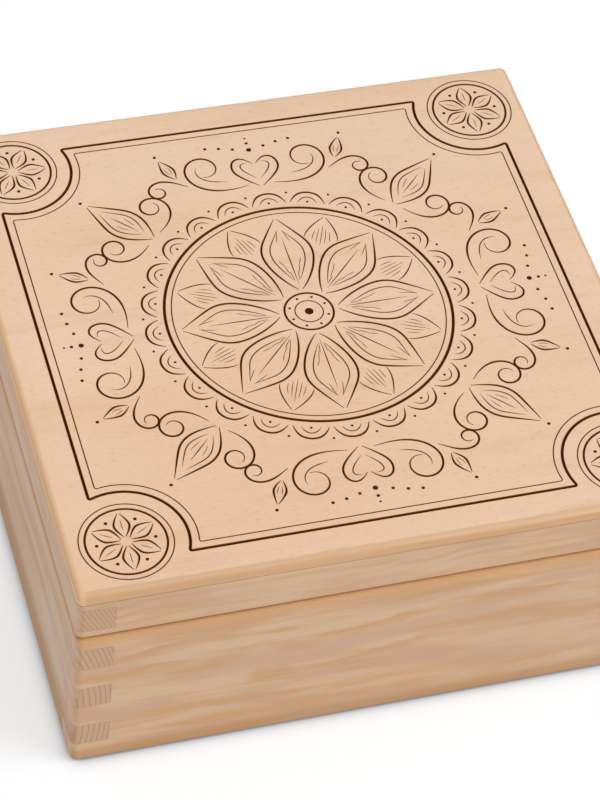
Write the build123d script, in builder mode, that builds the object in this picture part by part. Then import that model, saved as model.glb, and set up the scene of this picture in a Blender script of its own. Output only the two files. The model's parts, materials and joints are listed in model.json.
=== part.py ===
from build123d import *
from math import atan2, degrees
import os

os.makedirs("parts", exist_ok=True)

# Keepsake box in solid pine: a finger-jointed carcase, sawn round into a base and a lid,
# with a plywood plate on the lid and two let-in butt hinges along the back.
# Millimetres. +Z up, front towards -Y, origin at the centre of the underside.

# Carcase
box_width = 200.0  # outside, left to right
box_depth = 200.0  # outside, front to back
board = 12.0  # thickness of every pine board
finger = 9.8  # height of one finger of the corner joints
rim_height = 64.5  # top edge of the base
saw_gap = 0.3  # gap all round between the closed lid and the base
frame_top = 81.0  # top edge of the lid frame, under the plate
corner_radius = 2.5  # upright corners, sanded
underside_radius = 2.0  # outer bottom edge of the base
base_rim_radius = 2.0  # outer top edge of the base
lid_rim_radius = 1.5  # outer bottom edge of the lid
seam_chamfer = 0.3  # outer edges that meet at the plate's glue line

# Plywood
plate = 3.0  # thickness of the lid plate
plate_radius = 2.4  # round-over of its top edge
panel = 3.0  # thickness of the bottom panel
panel_lift = 3.0  # from the underside up to the panel
groove_depth = 4.0  # of the groove that holds the panel, in every board
panel_play = 0.2  # between the panel's edge and the foot of the groove

# Hinges
hinge_spread = 120.0  # between the middles of the two hinges
leaf_length = 25.0  # along the pin
leaf_width = 8.6  # from the pin's axis to the leaf's far edge
leaf_thickness = 1.0
leaf_play = 0.1  # between the leaf's edge and its recess
knuckle_count = 3
knuckle_gap = 0.2  # between neighbouring knuckles
knuckle_radius = 2.0
knuckle_room = 0.3  # from the knuckles to the wood and to the other leaf
pin_inset = 1.0  # of the pin's axis from the back face: it sets how far the lid opens
pin_radius = 0.9
pin_play = 0.05  # round the pin in the lid's knuckles, which turn on it

# Screws
screw_spread = 15.0  # between the two screws of a leaf
screw_line = 4.9  # from the pin's axis to the screws
head_radius = 2.0  # the countersunk head is as deep as the leaf is thick
shank_radius = 1.0
screw_length = 10.0
pilot_play = 0.05  # round the shank in the wood

# Worked out from these
inner_width = box_width - 2 * board
inner_depth = box_depth - 2 * board
lid_rim = rim_height + saw_gap
pin_y = box_depth / 2 - pin_inset
pin_z = rim_height + saw_gap / 2
hinge_places = {"left": -hinge_spread / 2, "right": hinge_spread / 2}
leaf_edge_y = pin_y - leaf_width
screw_y = pin_y - screw_line
knuckle_pitch = leaf_length / knuckle_count
head_slope = degrees(atan2(head_radius - shank_radius, leaf_thickness))


def save(part, name):
    part.label = name
    export_step(part, f"parts/{name}.step")


# The corner joints: the side boards hold every second finger, counted up from the underside.
side_finger_levels = [finger * n for n in range(1, int(frame_top / finger), 2)]


def board_ring(low, high):
    with BuildPart() as ring:
        with BuildSketch(Plane.XY.offset(low)):
            RectangleRounded(box_width, box_depth, corner_radius)
            Rectangle(inner_width, inner_depth, mode=Mode.SUBTRACT)
        extrude(amount=high - low)
    return ring.part


def outer_edges(part, side):
    return part.faces().sort_by(Axis.Z)[side].outer_wire().edges()


def hinge_recesses(rim, out):
    # Room for one hinge leaf on each side: its flat sits flush in the rim at that level, and a
    # round channel clears the knuckles of both leaves. out is the way out of the wood, 1 or -1.
    with BuildPart() as recesses:
        with BuildSketch(Plane.XY.offset(rim)):
            for hinge_x in hinge_places.values():
                with Locations((hinge_x, (leaf_edge_y - leaf_play + pin_y) / 2)):
                    Rectangle(leaf_length + 2 * leaf_play, leaf_width + leaf_play)
        extrude(amount=-out * leaf_thickness)
        for hinge_x in hinge_places.values():
            channel_start = hinge_x - leaf_length / 2 - leaf_play
            with BuildSketch(Plane.YZ.offset(channel_start)):
                with Locations((pin_y, pin_z)):
                    Circle(knuckle_radius + knuckle_room)
            extrude(amount=leaf_length + 2 * leaf_play)
        with BuildSketch(Plane.XY.offset(rim)):
            for hinge_x in hinge_places.values():
                with Locations((hinge_x, screw_y)):
                    with GridLocations(screw_spread, 0, 2, 1):
                        Circle(shank_radius + pilot_play)
        extrude(amount=-out * screw_length)
    return recesses.part


# Base carcase, still in one piece
with BuildPart() as base_ring:
    add(board_ring(0, rim_height))
    fillet(outer_edges(base_ring, 0), underside_radius)
    fillet(outer_edges(base_ring, -1), base_rim_radius)
    with BuildSketch(Plane.XY.offset(panel_lift)):
        Rectangle(inner_width + 2 * groove_depth, inner_depth + 2 * groove_depth)
    extrude(amount=panel, mode=Mode.SUBTRACT)
    add(hinge_recesses(rim_height, 1), mode=Mode.SUBTRACT)

# Lid frame, still in one piece
with BuildPart() as lid_ring:
    add(board_ring(lid_rim, frame_top))
    fillet(outer_edges(lid_ring, 0), lid_rim_radius)
    chamfer(outer_edges(lid_ring, -1), seam_chamfer)
    add(hinge_recesses(lid_rim, -1), mode=Mode.SUBTRACT)

# What the left and right boards take of the carcase: the length between the front and back
# boards, and at each corner the fingers that interlock with them.
with BuildPart() as side_spaces:
    with BuildSketch():
        with GridLocations(box_width - board, 0, 2, 1):
            Rectangle(board, inner_depth)
    extrude(amount=frame_top)
    for level in side_finger_levels:
        with BuildSketch(Plane.XY.offset(level)):
            with GridLocations(box_width - board, box_depth - board, 2, 2):
                Rectangle(board, board)
        extrude(amount=finger)


def half_space(plane):
    # The whole half of the box on the positive side of an upright plane through its middle
    with BuildPart() as half:
        with BuildSketch(plane):
            Rectangle(2 * box_width, 4 * frame_top)
        extrude(amount=box_width)
    return half.part


half_spaces = {
    "front": half_space(Plane.XZ),
    "back": half_space(-Plane.XZ),
    "left": half_space(-Plane.YZ),
    "right": half_space(Plane.YZ),
}

# Each ring parts into four interlocking boards.
for ring, ring_name in ((base_ring, "base_{}_board"), (lid_ring, "lid_{}_rail")):
    for side, half in half_spaces.items():
        with BuildPart() as board_piece:
            add(ring.part)
            is_side_board = side in ("left", "right")
            add(side_spaces.part, mode=Mode.INTERSECT if is_side_board else Mode.SUBTRACT)
            add(half, mode=Mode.INTERSECT)
        save(board_piece.part, ring_name.format(side))

# Bottom panel, loose in its groove
with BuildPart() as bottom_panel:
    with BuildSketch(Plane.XY.offset(panel_lift)):
        panel_overlap = 2 * (groove_depth - panel_play)
        Rectangle(inner_width + panel_overlap, inner_depth + panel_overlap)
    extrude(amount=panel)
save(bottom_panel.part, "bottom_panel")

# Lid plate, glued over the whole frame
with BuildPart() as lid_top_plate:
    with BuildSketch(Plane.XY.offset(frame_top)):
        RectangleRounded(box_width, box_depth, corner_radius)
    extrude(amount=plate)
    chamfer(outer_edges(lid_top_plate, 0), seam_chamfer)
    fillet(outer_edges(lid_top_plate, -1), plate_radius)
save(lid_top_plate.part, "lid_top_plate")


def hinge_leaf(hinge_x, rim, out, own_knuckles, bore_radius):
    # out is the way out of the wood that the leaf is let into: 1 on the base, -1 on the lid.
    start_x = hinge_x - leaf_length / 2
    with BuildPart() as leaf:
        with BuildSketch(Plane.XY.offset(rim)):
            with Locations((hinge_x, pin_y - leaf_width / 2)):
                Rectangle(leaf_length, leaf_width)
        extrude(amount=-out * leaf_thickness)
        with BuildSketch(Plane.YZ.offset(start_x)):
            with Locations((pin_y, pin_z)):
                Circle(knuckle_radius)
        extrude(amount=leaf_length)
        # the other leaf's knuckles turn in these gaps
        clear = knuckle_radius + knuckle_room
        for n in range(knuckle_count):
            if n not in own_knuckles:
                gap_start = max(knuckle_pitch * n - knuckle_gap / 2, 0)
                gap_end = min(knuckle_pitch * (n + 1) + knuckle_gap / 2, leaf_length)
                with BuildSketch(Plane.YZ.offset(start_x + gap_start)):
                    with Locations((pin_y, pin_z)):
                        Rectangle(2 * clear, 2 * clear)
                extrude(amount=gap_end - gap_start, mode=Mode.SUBTRACT)
        with BuildSketch(Plane.YZ.offset(start_x)):
            with Locations((pin_y, pin_z)):
                Circle(bore_radius)
        extrude(amount=leaf_length, mode=Mode.SUBTRACT)
        # countersunk screw holes, widest on the face towards the other leaf
        hole_plane = Plane(origin=(hinge_x, screw_y, rim), x_dir=(1, 0, 0), z_dir=(0, 0, out))
        with BuildSketch(hole_plane):
            with GridLocations(screw_spread, 0, 2, 1):
                Circle(head_radius)
        extrude(amount=-leaf_thickness, taper=head_slope, mode=Mode.SUBTRACT)
    return leaf.part


def wood_screws(hinge_x, rim, out):
    # Two countersunk screws with their heads flush in a leaf
    with BuildPart() as screw:
        with BuildSketch(Plane.XZ):
            with BuildLine():
                Polyline(
                    (0, 0),
                    (head_radius, 0),
                    (shank_radius, -leaf_thickness),
                    (shank_radius, -screw_length),
                    (0, -screw_length),
                    close=True,
                )
            make_face()
        revolve(axis=Axis.Z)
    head_plane = Plane(origin=(hinge_x, screw_y, rim), x_dir=(1, 0, 0), z_dir=(0, 0, out))
    with BuildPart() as pair:
        with Locations(head_plane):
            with GridLocations(screw_spread, 0, 2, 1):
                add(screw.part)
    return pair.part


base_knuckles = range(0, knuckle_count, 2)
lid_knuckles = range(1, knuckle_count, 2)

for side, hinge_x in hinge_places.items():
    base_leaf = hinge_leaf(hinge_x, rim_height, 1, base_knuckles, pin_radius)
    lid_leaf = hinge_leaf(hinge_x, lid_rim, -1, lid_knuckles, pin_radius + pin_play)
    save(base_leaf, f"{side}_hinge_base_leaf")
    save(lid_leaf, f"{side}_hinge_lid_leaf")
    save(wood_screws(hinge_x, rim_height, 1), f"{side}_hinge_base_screws")
    save(wood_screws(hinge_x, lid_rim, -1), f"{side}_hinge_lid_screws")

    # The pin is tight in the base leaf's knuckles.
    with BuildPart() as hinge_pin:
        with BuildSketch(Plane.YZ.offset(hinge_x - leaf_length / 2)):
            with Locations((pin_y, pin_z)):
                Circle(pin_radius)
        extrude(amount=leaf_length)
    save(hinge_pin.part, f"{side}_hinge_pin")
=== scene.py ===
import json
import math

import bpy
from mathutils import Matrix, Quaternion, Vector

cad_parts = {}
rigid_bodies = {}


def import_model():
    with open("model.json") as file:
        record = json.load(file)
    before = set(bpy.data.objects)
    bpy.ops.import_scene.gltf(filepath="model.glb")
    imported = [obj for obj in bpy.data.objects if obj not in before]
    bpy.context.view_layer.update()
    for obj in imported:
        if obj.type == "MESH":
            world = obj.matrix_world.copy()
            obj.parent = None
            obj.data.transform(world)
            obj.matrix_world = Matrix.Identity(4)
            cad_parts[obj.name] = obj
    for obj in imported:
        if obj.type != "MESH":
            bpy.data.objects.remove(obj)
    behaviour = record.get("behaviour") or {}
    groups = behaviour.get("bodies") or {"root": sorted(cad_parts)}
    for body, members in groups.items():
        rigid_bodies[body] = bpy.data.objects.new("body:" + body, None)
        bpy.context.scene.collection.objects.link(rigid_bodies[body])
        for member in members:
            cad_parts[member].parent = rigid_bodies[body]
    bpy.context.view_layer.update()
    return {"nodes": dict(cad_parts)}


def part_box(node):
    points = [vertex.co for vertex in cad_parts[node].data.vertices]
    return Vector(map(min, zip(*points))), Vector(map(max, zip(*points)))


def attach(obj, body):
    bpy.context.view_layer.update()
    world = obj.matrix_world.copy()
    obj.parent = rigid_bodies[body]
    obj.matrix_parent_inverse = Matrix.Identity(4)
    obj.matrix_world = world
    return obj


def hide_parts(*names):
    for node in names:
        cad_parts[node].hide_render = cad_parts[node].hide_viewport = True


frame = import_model()
nodes = frame["nodes"]
mm = 0.001


# shader maths, written as Python expressions


class Wire:
    # one output of a node: arithmetic on it adds Math nodes to its material
    def __init__(self, finish, socket):
        self.finish = finish
        self.socket = socket

    def maths(self, operation, *others):
        return self.finish.node("Math", {"operation": operation}, (self, *others))

    def __add__(self, other):
        return self.maths("ADD", other)

    def __sub__(self, other):
        return self.maths("SUBTRACT", other)

    def __rsub__(self, other):
        return self.finish.node("Math", {"operation": "SUBTRACT"}, (other, self))

    def __mul__(self, other):
        return self.maths("MULTIPLY", other)

    def __truediv__(self, other):
        return self.maths("DIVIDE", other)

    def __pow__(self, other):
        return self.maths("POWER", other)

    __radd__ = __add__
    __rmul__ = __mul__

    def __abs__(self):
        return self.maths("ABSOLUTE")


class Finish:
    # one material, built up node by node
    def __init__(self, name):
        self.material = bpy.data.materials.new(name)
        self.material.use_nodes = True
        self.tree = self.material.node_tree
        self.tree.nodes.clear()

    def node(self, kind, settings, sockets, output=0):
        made = self.tree.nodes.new("ShaderNode" + kind)
        for name, value in settings.items():
            if name == "stops":
                while len(made.color_ramp.elements) < len(value):
                    made.color_ramp.elements.new(0.5)
                for element, (place, colour) in zip(made.color_ramp.elements, value):
                    element.position = place
                    element.color = colour
            else:
                setattr(made, name, value)
        named = sockets if isinstance(sockets, dict) else dict(enumerate(sockets))
        for name, value in named.items():
            if isinstance(value, Wire):
                self.tree.links.new(value.socket, made.inputs[name])
            else:
                made.inputs[name].default_value = value
        return Wire(self, made.outputs[output])

    def place(self):  # where a point is on the object, in millimetres
        here = self.node("TexCoord", {}, {}, "Object")
        return [self.node("SeparateXYZ", {}, (here,), axis) * 1000 for axis in "XYZ"]

    def facing(self):  # which way the surface faces across the object, on X and on Y
        normal = self.node("TexCoord", {}, {}, "Normal")
        return [self.node("SeparateXYZ", {}, (normal,), axis) for axis in "XY"]

    def point(self, x, y, z):
        return self.node("CombineXYZ", {}, (x, y, z))

    def noise(self, where, scale=1.0, detail=2.0, roughness=0.5):
        sockets = {"Vector": where, "Scale": scale, "Detail": detail, "Roughness": roughness}
        return self.node("TexNoise", {}, sockets)

    def ease(self, value, low, high):  # a smooth step from 0 at low to 1 at high
        sockets = {"Value": value, "From Min": low, "From Max": high}
        return self.node("MapRange", {"interpolation_type": "SMOOTHSTEP"}, sockets)

    def mix(self, share, first, second, how="MIX"):
        settings = {"data_type": "RGBA", "blend_type": how}
        return self.node("Mix", settings, {0: share, 6: first, 7: second}, 2)

    def surface(self, sockets, height=None, bump=0.0, bumpDepth=0.0001):
        if height is not None:
            lift = {"Strength": bump, "Distance": bumpDepth, "Height": height}
            sockets = {**sockets, "Normal": self.node("Bump", {}, lift)}
        shader = self.node("BsdfPrincipled", {}, sockets)
        output = self.tree.nodes.new("ShaderNodeOutputMaterial")
        self.tree.links.new(shader.socket, output.inputs["Surface"])
        return self.material


def colour(red, green, blue):  # from the 0 to 255 that a colour picker shows
    shares = [value / 255 for value in (red, green, blue)]
    return (*[((s + 0.055) / 1.055) ** 2.4 if s > 0.04 else s / 12.92 for s in shares], 1)


# the camera, the floor and the light

cameraLook = {
    "aim": (0.0, -0.0017, 0.042),
    "distance": 1.0646,
    "azimuth": 20.98,  # from straight ahead, towards the box's left
    "elevation": 48.56,
    "roll": 7.07,
    "lens": 143.4,
}

studio = {
    "world": 0.6,
    "keyPlace": (1.52, -0.8, 2.72),
    "keySize": 1.6,
    "keyPower": 78.0,
    "floorSize": 8.0,
    "paper": (0.27, 0.27, 0.275, 1),
    "paperGlow": 0.69,  # the white floor's own light keeps the shadows on it pale
    "paintedContactShadow": (0.27, 0.28, 0.31, 1),  # the floor's light dims to this tint along the foot of the box: a painted contact shadow
    "footHalf": 99.5,  # from the box's middle to where the contact shadow starts to fade
    "footRadius": 5.0,
    "contactWidth": 1.9,
}


def addCamera():
    azimuth = math.radians(cameraLook["azimuth"])
    elevation = math.radians(cameraLook["elevation"])
    flat = math.cos(elevation)
    forward = Vector((math.sin(azimuth) * flat, math.cos(azimuth) * flat, -math.sin(elevation)))
    roll = Quaternion((0, 0, 1), math.radians(cameraLook["roll"]))
    bpy.ops.object.camera_add()
    camera = bpy.context.object
    camera.location = Vector(cameraLook["aim"]) - forward * cameraLook["distance"]
    camera.rotation_mode = "QUATERNION"
    camera.rotation_quaternion = forward.to_track_quat("-Z", "Y") @ roll
    camera.data.lens = cameraLook["lens"]
    camera.data.clip_start = 0.01
    bpy.context.scene.camera = camera


def addSoftLight(place, size, power, aim=(0, 0, 0.04)):
    bpy.ops.object.light_add(type="AREA", location=place)
    light = bpy.context.object
    light.data.shape = "DISK"
    light.data.size = size
    light.data.energy = power
    light.rotation_mode = "QUATERNION"
    light.rotation_quaternion = (Vector(aim) - Vector(place)).to_track_quat("-Z", "Y")


def paperFinish():
    finish = Finish("whitePaper")
    x, y, z = finish.place()
    # a painted contact shadow: near the box's foot the floor's glow dims towards the contact tint
    straight = studio["footHalf"] - studio["footRadius"]
    beyondX, beyondY = ((abs(axis) - straight).maths("MAXIMUM", 0) for axis in (x, y))
    beyond = (beyondX * beyondX + beyondY * beyondY) ** 0.5 - studio["footRadius"]
    clear = 1 - (beyond.maths("MAXIMUM", 0) / -studio["contactWidth"]).maths("EXPONENT")
    glowWithPaintedShadow = finish.mix(clear, studio["paintedContactShadow"], (1, 1, 1, 1))
    sockets = {"Base Color": studio["paper"], "Roughness": 0.9, "Specular IOR Level": 0.1}
    return finish.surface({**sockets, "Emission Color": glowWithPaintedShadow, "Emission Strength": studio["paperGlow"]})


def addStudio():
    scene = bpy.context.scene
    scene.view_settings.view_transform = "Standard"
    scene.world = bpy.data.worlds.new("studioAir")
    scene.world.use_nodes = True
    air = scene.world.node_tree.nodes["Background"]
    air.inputs["Color"].default_value = (1, 1, 1, 1)
    air.inputs["Strength"].default_value = studio["world"]
    addSoftLight(studio["keyPlace"], studio["keySize"], studio["keyPower"])
    bpy.ops.mesh.primitive_plane_add(size=studio["floorSize"])
    floor = bpy.context.object
    floor.name = "floor"
    floor.data.materials.append(paperFinish())


addCamera()
addStudio()
print("camera, floor and light are in place")


# the pine boards

joints = {
    "finger": 9.8,  # millimetres, as the boards' fingers are cut
    "inside": 88.0,  # from the middle to the inner faces of the boards
    "lineWidth": 0.16,
    "lineDepth": 0.35,
    "plateSeam": 81.0,  # height of the lid plate's glue line
    "seamWidth": 0.3,
    "seamDepth": 0.14,
    "sawCut": 64.65,  # height of the middle of the cut between base and lid
    "outerFace": 97.0,  # past this far from the middle, the wood is on the outside
    "rimBand": (1.5, 6.0),  # below the cut, where the rim's orange, partly its own and partly painted shade, starts to fade and ends
    "cutBand": (0.4, 2.6),  # the same for the brown painted shade next to the cut
    "lidNarrower": 2.2,  # so many times narrower are both above the cut
}


def jointLines(finish, x, y, z):
    # the thin glue lines round the fingers, at the four corners
    finger, inside, width = joints["finger"], joints["inside"], joints["lineWidth"]
    acrossX, acrossY = abs(x), abs(y)
    fromLevel = abs((z / finger + 0.5).maths("FRACT") - 0.5) * finger
    inCorner = acrossX.maths("GREATER_THAN", inside) * acrossY.maths("GREATER_THAN", inside)
    levelLine = (1 - finish.ease(fromLevel, width * 0.3, width)) * inCorner
    levelLine = levelLine * z.maths("GREATER_THAN", finger / 2)
    sideFinger = (z / (2 * finger)).maths("FRACT").maths("GREATER_THAN", 0.5)
    frontLine = (1 - finish.ease(abs(acrossX - inside), width * 0.3, width)) * sideFinger
    frontLine = frontLine * acrossY.maths("GREATER_THAN", inside)
    sideLine = (1 - finish.ease(abs(acrossY - inside), width * 0.3, width)) * (1 - sideFinger)
    sideLine = sideLine * acrossX.maths("GREATER_THAN", inside)
    seamLine = 1 - finish.ease(abs(z - joints["plateSeam"]), width / 2, joints["seamWidth"])
    seamLine = seamLine * joints["seamDepth"] / joints["lineDepth"]
    return levelLine.maths("MAXIMUM", frontLine).maths("MAXIMUM", sideLine).maths("MAXIMUM", seamLine)


# Every board is sawn from its own log. pith is where the log's middle lies: its distance from
# the box's middle across the board, and its height, in millimetres. tilt is how far it climbs
# for each millimetre along the board, and lean how far the fibres do.
pineLooks = {
    "front": {
        "grain": "x",
        "pith": (-34.0, 14.0),
        "tilt": 0.05,
        "lean": -0.09,
        "ringStart": 62.0,
        "ringRate": 0.1,
        "ringGain": 0.0048,
        "wander": 13.0,
        "ripple": 4.5,
        "feather": 1.6,
        "seed": 3.0,
        "early": colour(214, 178, 143),
        "late": colour(203, 155, 104),
        "lateShare": 0.9,
        "lidCalm": 0.35,
        "amberLevel": 61.0,
        "footReach": 9.0,
        "footShare": 0.42,
        "rimShare": 0.75,
        "end": colour(204, 170, 140),
        "endShare": 0.15,
    },
    "back": {
        "grain": "x",
        "pith": (30.0, 48.0),
        "tilt": -0.03,
        "lean": 0.04,
        "ringStart": 62.0,
        "ringRate": 0.2,
        "ringGain": 0.005,
        "wander": 10.0,
        "ripple": 3.0,
        "feather": 1.4,
        "seed": 11.0,
        "early": colour(212, 176, 142),
        "late": colour(203, 156, 108),
        "lateShare": 0.85,
        "lidCalm": 0.4,
        "amberLevel": 20.0,
        "footReach": 9.0,
        "footShare": 0.42,
        "rimShare": 0.75,
        "end": colour(204, 170, 140),
        "endShare": 0.15,
    },
    "left": {
        "grain": "y",
        "pith": (-186.0, 24.5),
        "tilt": 0.0,
        "lean": 0.02,
        "ringStart": 92.0,
        "ringRate": 0.52,
        "ringGain": 0.01,
        "wander": 3.6,
        "ripple": 0.8,
        "feather": 0.5,
        "seed": 23.0,
        "early": colour(208, 180, 152),
        "late": colour(184, 142, 100),
        "lateShare": 0.6,
        "lidCalm": 0.6,
        "amberLevel": 50.0,
        "footReach": 22.0,
        "footShare": 0.68,
        "rimShare": 0.6,
        "end": colour(194, 157, 124),
        "endShare": 0.5,
    },
    "right": {
        "grain": "y",
        "pith": (30.0, 60.0),
        "tilt": 0.02,
        "lean": -0.03,
        "ringStart": 62.0,
        "ringRate": 0.26,
        "ringGain": 0.004,
        "wander": 8.0,
        "ripple": 2.4,
        "feather": 1.2,
        "seed": 37.0,
        "early": colour(212, 178, 145),
        "late": colour(200, 156, 110),
        "lateShare": 0.85,
        "lidCalm": 0.4,
        "amberLevel": 30.0,
        "footReach": 9.0,
        "footShare": 0.4,
        "rimShare": 0.7,
        "end": colour(194, 157, 124),
        "endShare": 0.5,
    },
}

pine = {
    "pink": colour(205, 165, 134),
    "amber": colour(208, 155, 100),
    # orange along the cut: partly the rims' own, partly painted shade
    "rim": colour(213, 161, 106),
    # brown painted shade next to the cut and towards the foot
    "brown": colour(176, 123, 60),
    "endDark": colour(150, 112, 84),
    "glue": colour(140, 98, 62),
    "cutShare": 0.3,  # of the brown painted shade in the wood next to the cut
    "footEdge": (0.2, 2.2),  # heights between which the painted shade along the foot's bottom edge fades
    # how dark the painted shade along the foot's bottom edge is
    "paintedFootShade": 0.22,
    "roughness": 0.56,
}


def pineFinish(name, look):
    finish = Finish(name)
    x, y, z = finish.place()
    normalX, normalY = finish.facing()
    along, across = (x, y) if look["grain"] == "x" else (y, x)
    alongNormal = normalX if look["grain"] == "x" else normalY
    seed = look["seed"]
    endGrain = finish.ease(abs(alongNormal), 0.75, 0.95)

    # fibres, and broad streaks and patches of pinker and yellower wood
    level = z - along * look["lean"]
    fibres = finish.noise(finish.point(along * 0.05 + seed, across * 1.6, level * 1.6), 1, 3, 0.6)
    hair = finish.noise(finish.point(along * 0.22, across * 4, level * 4 + seed), 1, 1)
    patches = finish.noise(finish.point(along * 0.02, across * 0.04, z * 0.09 + seed), 1, 2)
    streaks = finish.noise(finish.point(along * 0.016, across * 0.2, z * 0.2 - seed), 1, 3, 0.6)
    fading = finish.noise(finish.point(along * 0.016, across * 0.1, z * 0.16 + seed), 1, 2)

    # growth rings round the pith, pushed about by slow noise along the board
    slow = finish.noise(finish.point(along * 0.011 + seed, across * 0.022, z * 0.022), 1, 2)
    ripple = finish.noise(finish.point(along * 0.045 + seed, across * 0.12, z * 0.12), 1, 2)
    height = z - look["pith"][1] - along * look["tilt"]
    fromPith = ((across - look["pith"][0]) ** 2 + height * height) ** 0.5
    radius = fromPith + (slow - 0.5) * look["wander"] + (ripple - 0.5) * look["ripple"]
    radius = radius + (fibres - 0.5) * look["feather"]
    beyond = radius - look["ringStart"]
    phase = beyond * look["ringRate"] + beyond * beyond * look["ringGain"]
    ring = (phase + 40).maths("FRACT")
    late = finish.ease(ring, 0.25, 0.78) * (1 - finish.ease(ring, 0.8, 0.98))
    late = late * (0.15 + 0.85 * finish.ease(fading, 0.38, 0.6))
    late = late * (1 - finish.ease(z, 55, 68) * look["lidCalm"])

    # the rims along the saw cut are painted more orange and browner, partly their own sanded colour and
    # partly painted shade in the groove between lid and base, and the foot is browner, as painted shade
    # near the floor
    aboveCut = (z - joints["sawCut"]) * joints["lidNarrower"]
    fromCut = (joints["sawCut"] - z).maths("MAXIMUM", aboveCut)
    outside = abs(x).maths("MAXIMUM", abs(y)).maths("GREATER_THAN", joints["outerFace"])
    # an orange band along the cut, on base and lid: partly the rims' own orange, partly painted shade
    rimShade = (1 - finish.ease(fromCut, *joints["rimBand"])) * outside
    # brown painted shade right next to the cut
    cutShade = (1 - finish.ease(fromCut, *joints["cutBand"])) * outside
    # browner towards the foot: painted shade near the floor
    footLevel = z + (fading - 0.5) * look["footReach"] * 0.4
    footShade = 1 - finish.ease(footLevel, look["footReach"] * 0.45, look["footReach"])
    nearAmber = 1 - finish.ease(abs(z - look["amberLevel"]), 1, 8)
    face = finish.mix(finish.ease(patches, 0.4, 0.6), look["early"], pine["pink"])
    face = finish.mix(late * look["lateShare"], face, look["late"])
    face = finish.mix(finish.ease(streaks + nearAmber * 0.12, 0.52, 0.68) * 0.6, face, pine["amber"])
    face = finish.mix(rimShade * look["rimShare"], face, pine["rim"])
    brownShare = cutShade * pine["cutShare"] + footShade * look["footShare"]
    face = finish.mix(brownShare, face, pine["brown"])
    # painted shade along the foot's bottom edge, where it meets the floor
    paintedFootShade = (1 - finish.ease(z, *pine["footEdge"])) * pine["paintedFootShade"]
    shade = 0.93 + (fibres - 0.5) * 0.22 + (hair - 0.5) * 0.09 - paintedFootShade
    face = finish.mix(1.0, face, finish.point(shade, shade, shade), "MULTIPLY")

    pores = finish.noise(finish.point(along * 0.3, across * 3, z * 3), 1, 2)
    endLine = finish.ease(ring, 0.5, 0.82) * (1 - finish.ease(ring, 0.86, 1.0))
    endShade = endLine * look["endShare"] + (pores - 0.5) * 0.3
    end = finish.mix(endShade, look["end"], pine["endDark"])
    wood = finish.mix(endGrain, face, end)
    lines = jointLines(finish, x, y, z)
    wood = finish.mix(lines * joints["lineDepth"], wood, pine["glue"])

    relief = fibres * 0.5 + hair * 0.3 + late * 0.4 - lines * 0.8
    rough = pine["roughness"] + (fibres - 0.5) * 0.12 + endGrain * 0.12
    return finish.surface({"Base Color": wood, "Roughness": rough}, relief, 0.35, 0.00008)


for side, look in pineLooks.items():
    boardFinish = pineFinish(side + "Pine", look)
    for name in (f"base_{side}_board", f"lid_{side}_rail"):
        nodes[name].data.materials.clear()
        nodes[name].data.materials.append(boardFinish)
print("the pine boards have their grain")


# the plywood of the lid plate and the bottom panel

ply = {
    "face": colour(217, 185, 156),
    "warm": colour(214, 179, 147),
    "dash": colour(180, 141, 108),
    "edge": colour(199, 162, 128),
    "core": colour(190, 147, 104),
    "leftEdgePaintedLight": colour(228, 182, 138),  # painted light on the plate's left edge, lighter and more orange than the other edges
    "sandedBack": 3.0,  # from the plate's edge to where sanding has worn through the face veneer
    "fall": 0.0003,  # how much darker for each millimetre to the right, to even out the light
    "roughness": 0.5,
}


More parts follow.
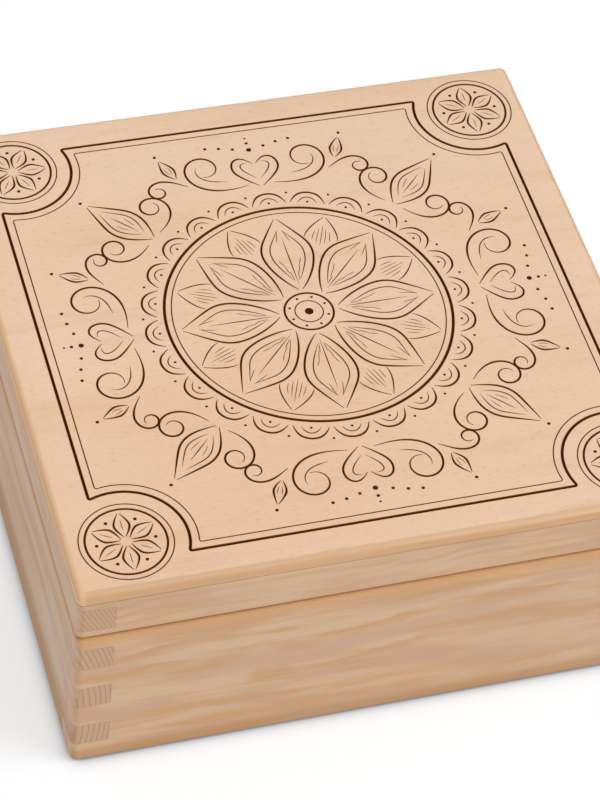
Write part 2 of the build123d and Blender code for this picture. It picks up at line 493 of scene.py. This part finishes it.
def plywoodFinish(name, seed, low, high):
    # low and high are the opposite corners of the sheet's box, in millimetres
    finish = Finish(name)
    x, y, z = finish.place()
    slow = finish.noise(finish.point(x * 0.005 + seed, y * 0.02, z * 0.02), 1, 2)
    wave = finish.noise(finish.point(x * 0.02, y * 0.16 + seed, z * 0.1), 1, 3, 0.6)
    fibres = finish.noise(finish.point(x * 0.12, y * 2.6 + seed, z), 1, 3, 0.6)
    flecks = finish.noise(finish.point(x * 0.32 + seed, y * 3.4, z), 1, 1, 0.4)
    dashes = finish.ease(flecks, 0.61, 0.74)
    veneer = finish.mix(finish.ease(slow, 0.35, 0.65), ply["face"], ply["warm"])
    veneer = finish.mix(dashes * 0.5 + finish.ease(wave, 0.5, 0.8) * 0.2, veneer, ply["dash"])
    shade = 0.97 + (fibres - 0.5) * 0.1 - x * ply["fall"]
    veneer = finish.mix(1.0, veneer, finish.point(shade, shade, shade), "MULTIPLY")

    # where the edge is sanded through the face veneer it shows the core, in lines along it
    depth = high.z - z
    lines = finish.noise(finish.point(x * 0.02, y * 0.02, z * 1.3 + seed), 1, 2, 0.6)
    grains = finish.noise(finish.point(x * 0.16, y * 0.16, z * 5), 1, 2, 0.6)
    coreShare = finish.ease(depth, -0.05, 0.25) * (0.65 + 0.35 * finish.ease(lines, 0.4, 0.62))
    core = finish.mix(coreShare, ply["edge"], ply["core"])
    # the plate's left edge is painted lighter: painted light
    core = finish.mix(finish.ease(low.x - x, -3.5, -1) * 0.8, core, ply["leftEdgePaintedLight"])
    # besides its grain, the edge is painted lighter further down, as painted light where the rounding tilts
    # towards the lamp
    shade = 0.98 + (grains - 0.5) * 0.14 + finish.ease(depth, 0.8, 2.4) * 0.12
    core = finish.mix(1.0, core, finish.point(shade, shade, shade), "MULTIPLY")
    ragged = (grains - 0.5) * 1.2 + (wave - 0.5) * 1.5
    wornTo = high.y - ply["sandedBack"]
    worn = finish.ease(ragged - y, wornTo - 0.5, wornTo + 0.3)
    wornSide = finish.ease(abs(x) + ragged, high.x - 2.4, high.x - 1)
    wornBack = finish.ease(y, high.y - 2, high.y - 0.5)
    inCore = worn.maths("MAXIMUM", wornSide).maths("MAXIMUM", wornBack)
    wood = finish.mix(inCore, veneer, core)
    seam = 1 - finish.ease(abs(z - low.z), joints["lineWidth"] / 2, joints["seamWidth"])
    wood = finish.mix(seam * joints["seamDepth"], wood, pine["glue"])
    rough = ply["roughness"] + (fibres - 0.5) * 0.12
    relief = fibres * 0.5 - dashes * 0.4
    return finish.surface({"Base Color": wood, "Roughness": rough}, relief, 0.25, 0.00006)


panelLow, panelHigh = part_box("bottom_panel")
nodes["bottom_panel"].data.materials.clear()
panelPlywood = plywoodFinish("panelPlywood", 5.0, panelLow / mm, panelHigh / mm)
nodes["bottom_panel"].data.materials.append(panelPlywood)


# the lid plate's shape

plateLook = {
    "cornerRadius": 2.5,
    "topRadius": 2.4,
    "seamChamfer": 0.3,
    "roundSteps": 6,
    "cells": 20,  # the flat top is divided into so many rows, which keeps its faces small
}


def deselectAll():
    if bpy.context.object and bpy.context.object.mode != "OBJECT":
        bpy.ops.object.mode_set(mode="OBJECT")
    bpy.ops.object.select_all(action="DESELECT")


def makeActive(piece):
    deselectAll()
    piece.select_set(True)
    bpy.context.view_layer.objects.active = piece


def pickEdges(piece, wanted):
    # selects the edges for which wanted(middle, direction) is true, and enters edit mode
    bpy.ops.object.mode_set(mode="EDIT")
    bpy.ops.mesh.select_mode(type="EDGE")
    bpy.ops.mesh.select_all(action="DESELECT")
    bpy.ops.object.mode_set(mode="OBJECT")
    points = piece.data.vertices
    for edge in piece.data.edges:
        first, second = (points[index].co for index in edge.vertices)
        edge.select = wanted((first + second) / 2, (second - first).normalized())
    bpy.ops.object.mode_set(mode="EDIT")


def makePlate():
    low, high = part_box("lid_top_plate")
    deselectAll()
    bpy.ops.mesh.primitive_cube_add(size=1, location=(low + high) / 2, scale=high - low)
    bpy.ops.object.transform_apply(location=True, rotation=False, scale=True)
    plate = bpy.context.object
    plate.name = "engraved_lid_plate"
    steps = plateLook["roundSteps"]
    pickEdges(plate, lambda middle, direction: abs(direction.z) > 0.9)
    bpy.ops.mesh.bevel(offset=plateLook["cornerRadius"] * mm, segments=steps)
    pickEdges(plate, lambda middle, direction: middle.z > high.z - 0.01 * mm)
    bpy.ops.mesh.bevel(offset=plateLook["topRadius"] * mm, segments=steps)
    pickEdges(plate, lambda middle, direction: middle.z < low.z + 0.01 * mm)
    bpy.ops.mesh.bevel(offset=plateLook["seamChamfer"] * mm, segments=1)
    # cuts across the flat top
    bpy.ops.object.mode_set(mode="OBJECT")
    pitch = (high.x - low.x) / plateLook["cells"]
    for direction in ((1, 0, 0), (0, 1, 0)):
        for row in range(1, plateLook["cells"]):
            bpy.ops.object.mode_set(mode="EDIT")
            bpy.ops.mesh.select_mode(type="FACE")
            bpy.ops.mesh.select_all(action="DESELECT")
            bpy.ops.object.mode_set(mode="OBJECT")
            for face in plate.data.polygons:
                face.select = face.normal.z > 0.999
            bpy.ops.object.mode_set(mode="EDIT")
            place = Vector(direction) * (low.x + pitch * row)
            bpy.ops.mesh.bisect(plane_co=place, plane_no=direction)
    bpy.ops.object.mode_set(mode="OBJECT")
    return plate


# the ornament burnt into the lid

ornamentLook = {
    "bold": 1.1,  # widths of the pen strokes, in millimetres
    "line": 0.84,
    "fine": 0.5,
    "pearl": 0.62,
    "lift": 0.03,  # how far the middle of a stroke's cutter lies above the wood
    "thinEnd": 0.35,  # share of its width that a stroke has at its ends
    "lip": colour(124, 68, 14),
    "foot": colour(62, 25, 0),
}


def burntFinish(top):
    # a scorched groove: nearly black at its foot, rust brown along its lips
    finish = Finish("burntLine")
    x, y, z = finish.place()
    depth = finish.ease(top / mm - z, 0.03, 0.27)
    char = finish.noise(finish.point(x * 1.4, y * 1.4, z), 1, 3, 0.6)
    burn = finish.mix(depth, ornamentLook["lip"], ornamentLook["foot"])
    burn = finish.mix(finish.ease(char, 0.45, 0.7) * 0.25, burn, ornamentLook["lip"])
    sockets = {"Base Color": burn, "Roughness": 0.8 + (char - 0.5) * 0.2, "Specular IOR Level": 0.05}
    return finish.surface(sockets)


def turned(points, angle):
    turn = Matrix.Rotation(math.radians(angle), 2)
    return [tuple(turn @ Vector(point)) for point in points]


def moved(points, x, y):
    return [(point[0] + x, point[1] + y) for point in points]


def arcPoints(radius, start, end, count):
    return [turned([(radius, 0)], start + (end - start) * n / (count - 1))[0] for n in range(count)]


def ringPoints(radius, count):
    return arcPoints(radius, 0, 360 - 360 / count, count)


def scroll(start, heading, length, bendStart, bendEnd, step=1.0):
    # points along a pen scroll: its bend, in degrees per millimetre, changes evenly along it
    count = round(length / step)
    points = [start]
    for n in range(count):
        heading += step * (bendStart + (bendEnd - bendStart) * (n + 0.5) / count)
        x, y = points[-1]
        way = math.radians(heading)
        points.append((x + step * math.cos(way), y + step * math.sin(way)))
    return points


def addCutter(piece):
    cutters = bpy.data.collections.get("cutters") or bpy.data.collections.new("cutters")
    if cutters.name not in bpy.context.scene.collection.children:
        bpy.context.scene.collection.children.link(cutters)
    for holder in list(piece.users_collection):
        holder.objects.unlink(piece)
    cutters.objects.link(piece)


def penStroke(points, width, copies=1, first=0.0, closed=False):
    # a thin tube in the lid's face, and its copies round the lid's middle
    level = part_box("lid_top_plate")[1].z + ornamentLook["lift"] * mm
    pen = bpy.data.curves.new("stroke", "CURVE")
    pen.dimensions = "3D"
    pen.twist_mode = "Z_UP"
    pen.bevel_depth = width / 2 * mm
    pen.bevel_resolution = 0
    pen.use_fill_caps = True
    pen.resolution_u = 4
    thin = ornamentLook["thinEnd"]
    for n in range(copies):
        spline = pen.splines.new("NURBS")
        spline.points.add(len(points) - 1)
        for index, (x, y) in enumerate(turned(points, first + 360 / copies * n)):
            fromEnd = min(index, len(points) - 1 - index) / (len(points) - 1)
            spline.points[index].co = (x * mm, y * mm, level, 1)
            spline.points[index].radius = 1 if closed else min(1, thin + fromEnd * 4 * (1 - thin))
        spline.order_u = 3
        spline.use_endpoint_u = not closed
        spline.use_cyclic_u = closed
    stroke = bpy.data.objects.new("stroke", pen)
    bpy.context.collection.objects.link(stroke)
    makeActive(stroke)
    bpy.ops.object.convert(target="MESH")
    bpy.ops.object.mode_set(mode="EDIT")
    bpy.ops.mesh.select_all(action="SELECT")
    bpy.ops.mesh.remove_doubles(threshold=0.0005 * mm)
    bpy.ops.mesh.normals_make_consistent(inside=False)
    bpy.ops.object.mode_set(mode="OBJECT")
    addCutter(bpy.context.object)


def penPair(points, width, copies=1, first=0.0):  # a stroke and its mirror image
    penStroke(points, width, copies, first)
    penStroke([(-x, y) for x, y in points], width, copies, first)


def pits(spots, radius, copies=1, first=0.0):
    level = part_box("lid_top_plate")[1].z + ornamentLook["lift"] * mm
    for n in range(copies):
        for x, y in turned(spots, first + 360 / copies * n):
            deselectAll()
            size = (radius * mm, radius * mm, 0.5 * radius * mm)
            bpy.ops.mesh.primitive_uv_sphere_add(
                segments=12, ring_count=6, radius=1, location=(x * mm, y * mm, level), scale=size
            )
            bpy.ops.object.transform_apply(location=True, rotation=False, scale=True)
            addCutter(bpy.context.object)


def drawMedallion():
    bold, line, fine = ornamentLook["bold"], ornamentLook["line"], ornamentLook["fine"]
    pearl = ornamentLook["pearl"]
    pits([(0, 0)], 1.5)
    penStroke(ringPoints(4.8, 12), fine, closed=True)
    pits([(0, 6.4)], 0.5, 8, 22.5)
    penStroke(ringPoints(8.2, 16), line, closed=True)
    # eight leaves, with the tips of eight more behind them
    penPair([(0.6, 9.9), (3.6, 13), (8.0, 21.5), (8.9, 29), (4.8, 36), (0.4, 42.4)], line, 8)
    penPair([(1.2, 14.4), (2.8, 17.4), (5.4, 23), (5.8, 28.6), (3.2, 33.2), (0.7, 37.2)], fine, 8)
    penStroke([(0, 12.5), (0, 19), (0, 26), (0, 33.5)], fine, 8)
    for x, y, length in ((1.3, 18.2, 4.2), (2.5, 20.8, 3.6), (3.7, 23.6, 3)):
        penPair([(x * 0.62, y - length), (x * 0.85, y - length / 2), (x, y)], fine, 8)
    penPair([(0.9, 37), (1.7, 34.4), (2.2, 31.4)], fine, 8)
    penPair([(5.6, 33.2), (5.4, 37.4), (0.4, 43.2)], line, 8, 22.5)
    penStroke([(0, 30), (0, 34), (0, 39.6)], fine, 8, 22.5)
    penPair([(1.4, 31), (1.5, 34.4), (1.1, 37.8)], fine, 8, 22.5)
    penPair([(2.9, 32.2), (3.0, 34.4), (2.4, 36.6)], fine, 8, 22.5)
    # rings, scallops and pearls round them
    penStroke(ringPoints(44.9, 40), fine, closed=True)
    penStroke(ringPoints(47.2, 40), bold, closed=True)
    penStroke([(-5.8, 49.2), (-4.6, 53), (0, 54.8), (4.6, 53), (5.8, 49.2)], line, 24)
    penStroke([(-3.2, 49.4), (-2.4, 51.2), (0, 52.4), (2.4, 51.2), (3.2, 49.4)], fine, 24)
    pits([(0, 49.9)], pearl * 0.8, 24)
    pits([(0, 54.2)], pearl * 0.8, 24, 7.5)


def drawSides():
    # a heart between scrolls, towards the middle of each side
    line, fine, pearl = ornamentLook["line"], ornamentLook["fine"], ornamentLook["pearl"]
    penPair([(0.6, 58.6), (4.8, 62), (8.4, 66.6), (7.4, 71.6), (3.2, 72.6), (0.6, 69.2)], line, 4)
    penPair([(0.6, 62.2), (3.4, 64.8), (5.2, 67.8), (4.6, 69.8), (2.4, 69.9)], fine, 4)
    penPair(scroll((4.4, 59.4), -10, 50, 0.2, 15), line, 4)
    penPair(scroll((11.5, 62.6), 8, 14.5, -1, 16), fine, 4)
    penPair(scroll((24.5, 62.6), 30, 30, 2.5, -30), line, 4)
    penPair([(0.3, 72.6), (2.1, 75.4), (1.9, 78.6), (0.2, 82.2)], line, 8, 22.5)
    penPair([(0.3, 75), (0.9, 76.4), (0.8, 78.4)], fine, 8, 22.5)
    pits([(0, 84.6)], pearl, 8, 22.5)
    pits([(0, 75.8)], pearl * 1.5, 4)
    pits([(0, 79)], pearl, 4)
    pits([(0, 81.4)], pearl * 0.7, 4)
    for x, y in ((5.4, 77), (10, 78.2), (14.6, 78.9)):
        pits([(x, y), (-x, y)], pearl, 4)


def drawCorners():
    # a drop between scrolls, towards each corner
    line, fine, pearl = ornamentLook["line"], ornamentLook["fine"], ornamentLook["pearl"]
    penPair([(0.6, 59), (4.8, 64), (6.6, 71), (3.6, 78), (0.4, 84.6)], line, 4, 45)
    penPair([(0.7, 63), (3, 66.4), (4.2, 71), (2.6, 75.4), (0.7, 79.6)], fine, 4, 45)
    penStroke([(0, 65), (0, 69), (0, 72), (0, 75.6)], fine, 4, 45)
    penPair([(1.4, 67.4), (2.1, 69.6), (2.1, 72)], fine, 4, 45)
    penPair(scroll((3.4, 58.6), -6, 40, 1, 22), line, 4, 45)
    pits([(0, 87.4)], pearl, 4, 45)


def drawFrame():
    # two lines that step in round a compass-drawn flower in each corner
    bold, line, fine = ornamentLook["bold"], ornamentLook["line"], ornamentLook["fine"]
    corner = 80.5
    for half, radius, width in ((88.0, 19.5, bold), (85.2, 22.3, fine)):
        reach = math.degrees(math.asin((half - corner) / radius))
        bend = moved(arcPoints(radius, 180 - reach, 270 + reach, 24), corner, corner)
        quarter = [(bend[0][0] - 2, half), *bend, (half, bend[-1][1] - 2)]
        penStroke([spot for n in range(4) for spot in turned(quarter, -90 * n)], width, closed=True)
    petal = [(0.3, 1.8), (2.1, 4.4), (2.7, 7.4), (0.3, 11)]
    spots = []
    for n in range(6):
        for points in (petal, [(-x, y) for x, y in petal], [(0, 4.4), (0, 6.4), (0, 8.6)]):
            width = fine if points[0][0] == 0 else line
            penStroke(moved(turned(points, 60 * n), corner, corner), width, 4)
        spots += moved(turned([(0, 9.2)], 60 * n + 30), corner, corner)
    pits(spots, ornamentLook["pearl"], 4)
    penStroke(moved(ringPoints(12.8, 20), corner, corner), line, 4, closed=True)
    penStroke(moved(ringPoints(14.8, 20), corner, corner), fine, 4, closed=True)


def engrave(plate):
    drawMedallion()
    drawSides()
    drawCorners()
    drawFrame()
    cutters = bpy.data.collections["cutters"]
    for cutter in cutters.objects:
        cutter.data.materials.clear()
        for material in plate.data.materials:
            cutter.data.materials.append(material)
        for face in cutter.data.polygons:
            face.material_index = 1
    makeActive(plate)
    carve = plate.modifiers.new("carve", "BOOLEAN")
    carve.operation = "DIFFERENCE"
    carve.solver = "MANIFOLD"
    carve.operand_type = "COLLECTION"
    carve.collection = cutters
    bpy.ops.object.modifier_apply(modifier=carve.name)
    for cutter in list(cutters.objects):
        bpy.data.objects.remove(cutter)
    bpy.data.collections.remove(cutters)


plateLow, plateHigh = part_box("lid_top_plate")
lidPlate = makePlate()
lidPlywood = plywoodFinish("lidPlywood", 2.0, plateLow / mm, plateHigh / mm)
lidPlate.data.materials.append(lidPlywood)
lidPlate.data.materials.append(burntFinish(plateHigh.z))
engrave(lidPlate)
makeActive(lidPlate)
bpy.ops.object.shade_smooth_by_angle(angle=math.radians(32))
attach(lidPlate, "lid")
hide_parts("lid_top_plate")
print("the lid plate is engraved:", len(lidPlate.data.polygons), "faces")


# the brass hinges and their screws

brass = {
    "bright": colour(224, 188, 114),
    "dull": colour(206, 166, 94),
    "roughness": 0.36,
}


def brassFinish(name, seed):
    finish = Finish(name)
    x, y, z = finish.place()
    tarnish = finish.noise(finish.point(x * 0.15 + seed, y * 0.3, z * 0.3), 1, 2)
    brushed = finish.noise(finish.point(x * 0.5, y * 9, z * 9 + seed), 1, 2)
    metal = finish.mix(finish.ease(tarnish, 0.3, 0.75), brass["bright"], brass["dull"])
    rough = brass["roughness"] + (brushed - 0.5) * 0.16 + (tarnish - 0.5) * 0.1
    return finish.surface({"Base Color": metal, "Metallic": 1.0, "Roughness": rough}, brushed, 0.2, 0.00003)


hingeBrass = brassFinish("hingeBrass", 1.0)
screwBrass = brassFinish("screwBrass", 8.0)
for name, node in nodes.items():
    if "_hinge_" in name and not name.endswith("screws"):
        node.data.materials.clear()
        node.data.materials.append(hingeBrass)
print("the hinges are brass")

screwLook = {
    "headWidth": 3.96,  # millimetres
    "headDepth": 1.0,
    "shankWidth": 1.96,
    "plainLength": 3.2,  # from the top of the head to where the thread starts
    "coreWidth": 1.4,
    "pointLength": 2.0,
    "length": 10.0,
    "threadPitch": 0.75,
    "threadTurns": 7,
    "slotWidth": 0.5,
    "slotDepth": 0.42,
    "sides": 24,
    "rimBevel": 0.08,
    "shoulder": 0.3,  # length of the step from the shank down to the core
    "tipShare": 0.12,  # width of the tip, as a share of the core's
    "ridge": 0.34,  # radius of the triangle that is swept to make the thread
    "ridgeSunk": 0.866,  # how far inside the shank's surface its middle lies, as a share of that
    "slotAngles": (18, -40, 66, 5, -72, 31, -12, 84),  # as the screws happened to stop
}


def drawDown(depth, width=None):
    # extrudes the selected underside, and draws it in or out to a share of its width
    bpy.ops.mesh.extrude_region_move(TRANSFORM_OT_translate={"value": (0, 0, -depth * mm)})
    if width is not None:
        bpy.ops.transform.resize(value=(width, width, 1))


def makeScrew():
    head, shank, core = screwLook["headWidth"], screwLook["shankWidth"], screwLook["coreWidth"]
    deselectAll()
    bpy.ops.mesh.primitive_cylinder_add(
        vertices=screwLook["sides"],
        radius=head / 2 * mm,
        depth=screwLook["headDepth"] * mm,
        location=(0, 0, -screwLook["headDepth"] / 2 * mm),
    )
    bpy.ops.object.transform_apply(location=True, rotation=False, scale=True)
    screw = bpy.context.object
    screw.name = "woodScrew"
    pickEdges(screw, lambda middle, direction: middle.z > -0.01 * mm)
    bpy.ops.mesh.bevel(offset=screwLook["rimBevel"] * mm, segments=2)
    pickEdges(screw, lambda middle, direction: middle.z < -0.99 * screwLook["headDepth"] * mm)
    bpy.ops.transform.resize(value=(shank / head, shank / head, 1))
    bpy.ops.mesh.edge_face_add()
    bpy.ops.object.mode_set(mode="OBJECT")
    for face in screw.data.polygons:
        face.select = face.normal.z < -0.99
    bpy.ops.object.mode_set(mode="EDIT")
    bpy.ops.mesh.select_mode(type="FACE")
    drawDown(screwLook["plainLength"] - screwLook["headDepth"])
    drawDown(screwLook["shoulder"], core / shank)
    threaded = screwLook["length"] - screwLook["plainLength"] - screwLook["pointLength"]
    drawDown(threaded - screwLook["shoulder"])
    drawDown(screwLook["pointLength"], screwLook["tipShare"])
    bpy.ops.object.mode_set(mode="OBJECT")
    cutInto(screw, makeThread(), "UNION")
    deselectAll()
    slotSize = (head * 1.2 * mm, screwLook["slotWidth"] * mm, 2 * screwLook["slotDepth"] * mm)
    bpy.ops.mesh.primitive_cube_add(size=1, scale=slotSize)
    bpy.ops.object.transform_apply(location=True, rotation=False, scale=True)
    cutInto(screw, bpy.context.object, "DIFFERENCE")
    return screw


def makeThread():
    # one triangle, swept down round the core
    ridge = screwLook["ridge"]
    centre = screwLook["shankWidth"] / 2 - ridge * screwLook["ridgeSunk"]
    deselectAll()
    bpy.ops.mesh.primitive_circle_add(
        vertices=3,
        radius=ridge * mm,
        fill_type="NOTHING",
        location=(centre * mm, 0, -screwLook["plainLength"] * mm),
        rotation=(math.radians(90), 0, 0),
    )
    bpy.ops.object.transform_apply(location=True, rotation=True, scale=True)
    thread = bpy.context.object
    sweep = thread.modifiers.new("sweep", "SCREW")
    sweep.axis = "Z"
    sweep.angle = math.radians(360)
    sweep.steps = 16
    sweep.render_steps = 16
    sweep.iterations = screwLook["threadTurns"]
    sweep.screw_offset = -screwLook["threadPitch"] * mm
    bpy.ops.object.modifier_apply(modifier=sweep.name)
    bpy.ops.object.mode_set(mode="EDIT")
    bpy.ops.mesh.select_all(action="DESELECT")
    bpy.ops.mesh.select_mode(type="EDGE")
    bpy.ops.mesh.select_non_manifold()
    bpy.ops.mesh.fill_holes(sides=3)
    bpy.ops.mesh.select_all(action="SELECT")
    bpy.ops.mesh.normals_make_consistent(inside=False)
    bpy.ops.object.mode_set(mode="OBJECT")
    return thread


def cutInto(piece, tool, operation):
    makeActive(piece)
    cut = piece.modifiers.new("cut", "BOOLEAN")
    cut.operation = operation
    cut.solver = "MANIFOLD"
    cut.object = tool
    bpy.ops.object.modifier_apply(modifier=cut.name)
    bpy.data.objects.remove(tool)


def placeScrew(model, place, angle, pointsUp):
    makeActive(model)
    bpy.ops.object.duplicate(linked=False)
    screw = bpy.context.object
    turn = Matrix.Rotation(math.radians(180 if pointsUp else 0), 4, "X")
    screw.matrix_world = Matrix.Translation(place) @ turn @ Matrix.Rotation(math.radians(angle), 4, "Z")
    bpy.ops.object.transform_apply(location=True, rotation=True, scale=True)
    return screw


woodScrew = makeScrew()
woodScrew.data.materials.clear()
woodScrew.data.materials.append(screwBrass)
for face in woodScrew.data.polygons:
    face.material_index = 0
makeActive(woodScrew)
bpy.ops.object.shade_smooth_by_angle(angle=math.radians(35))
angles = iter(screwLook["slotAngles"])
for side in ("left", "right"):
    for body in ("base", "lid"):
        node = f"{side}_hinge_{body}_screws"
        low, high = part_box(node)
        inset = (high.y - low.y) / 2
        level = low.z if body == "lid" else high.z
        pair = []
        for x in (low.x + inset, high.x - inset):
            place = Vector((x, low.y + inset, level))
            pair.append(placeScrew(woodScrew, place, next(angles), body == "lid"))
        makeActive(pair[0])
        pair[1].select_set(True)
        bpy.ops.object.join()
        pair[0].name = f"slotted_{side}_{body}_screws"
        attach(pair[0], body)
        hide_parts(node)
bpy.data.objects.remove(woodScrew)
print("the hinge screws are in")
